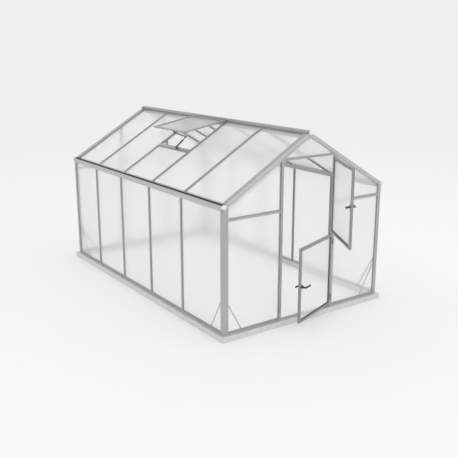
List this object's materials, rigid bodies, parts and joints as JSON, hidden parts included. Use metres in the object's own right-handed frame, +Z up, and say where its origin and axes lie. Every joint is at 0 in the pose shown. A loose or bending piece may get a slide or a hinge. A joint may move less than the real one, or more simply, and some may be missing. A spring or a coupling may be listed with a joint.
{
  "type": "polycarbonate greenhouse",
  "caption": "Freestanding polycarbonate greenhouse with an aluminium frame, pitched roof, gutters, opening roof vent and a split hinged door.",
  "frame": {"origin": "on the ground under the middle of the front gable wall's outer face", "axes": "+X towards the door's hinge side, +Y from the front gable to the back gable, +Z up"},
  "size_m": [2.388, 4.5041, 2.1789],
  "materials": {
    "frame": "satin",
    "base": "galvanised",
    "brace": "satin",
    "sheet": "frosted twin wall",
    "hinge": "satin",
    "handle": "black",
    "cap": "white",
    "opener": "dark",
    "cylinder": "dark"
  },
  "bodies": {
    "house": {"base_ends": "base", "base_sides": "base", "wall_heads": "frame", "gable_sills": "frame", "side_sills": "frame", "corner_posts": "frame", "eave_beams": "frame", "gutters": "frame", "ridge_beam": "frame", "right_verges": "frame", "left_verges": "frame", "right_verge_legs": "frame", "left_verge_legs": "frame", "wall_bars": "frame", "roof_bars": "frame", "door_posts": "frame", "back_mullions": "frame", "door_head": "frame", "mid_rails": "frame", "foot_braces": "brace", "right_wall_sheets": "sheet", "left_wall_sheets": "sheet", "right_roof_sheets": "sheet", "left_roof_sheets": "sheet", "front_gable_sheets": "sheet", "back_gable_sheets": "sheet", "post_hinges": "hinge", "ball_caps": "cap", "vent_sill": "frame", "vent_side_rails": "frame", "vent_cross_rails": "frame", "vent_sheet": "sheet", "opener_brackets": "opener", "opener_arm": "opener", "opener_cylinder": "cylinder"},
    "lower_leaf": {"lower_leaf_stiles": "frame", "lower_leaf_rails": "frame", "lower_leaf_sheet": "sheet", "lower_leaf_hinges": "hinge", "lower_handle_roses": "handle"},
    "lower_handle": {"lower_levers": "handle"},
    "upper_leaf": {"upper_leaf_stiles": "frame", "upper_leaf_rails": "frame", "upper_leaf_sheet": "sheet", "upper_leaf_hinges": "hinge", "upper_handle_roses": "handle"},
    "upper_handle": {"upper_levers": "handle"}
  },
  "joints": [
    {"name": "lower_leaf_hinge", "type": "hinge", "parent": "house", "child": "lower_leaf", "pos_m": [0.378, -0.014, 0.526], "axis": [0, 0, 1], "range_deg": [-20.2, 144.8]},
    {"name": "lower_handle_turn", "type": "hinge", "parent": "lower_leaf", "child": "lower_handle", "pos_m": [-0.26956, -0.25226, 0.508], "axis": [-0.3453, 0.9385, 0], "range_deg": [0, 45], "stiffness_Nm_per_rad": 1.2, "springref_deg": -14.9},
    {"name": "upper_leaf_hinge", "type": "hinge", "parent": "house", "child": "upper_leaf", "pos_m": [0.378, -0.014, 1.423], "axis": [0, 0, 1], "range_deg": [-61.7, 103.3]},
    {"name": "upper_handle_turn", "type": "hinge", "parent": "upper_leaf", "child": "upper_handle", "pos_m": [0.05088, -0.62153, 1.44], "axis": [-0.8805, 0.4741, 0], "range_deg": [0, 45], "stiffness_Nm_per_rad": 1.2, "springref_deg": -14.9}
  ]
}
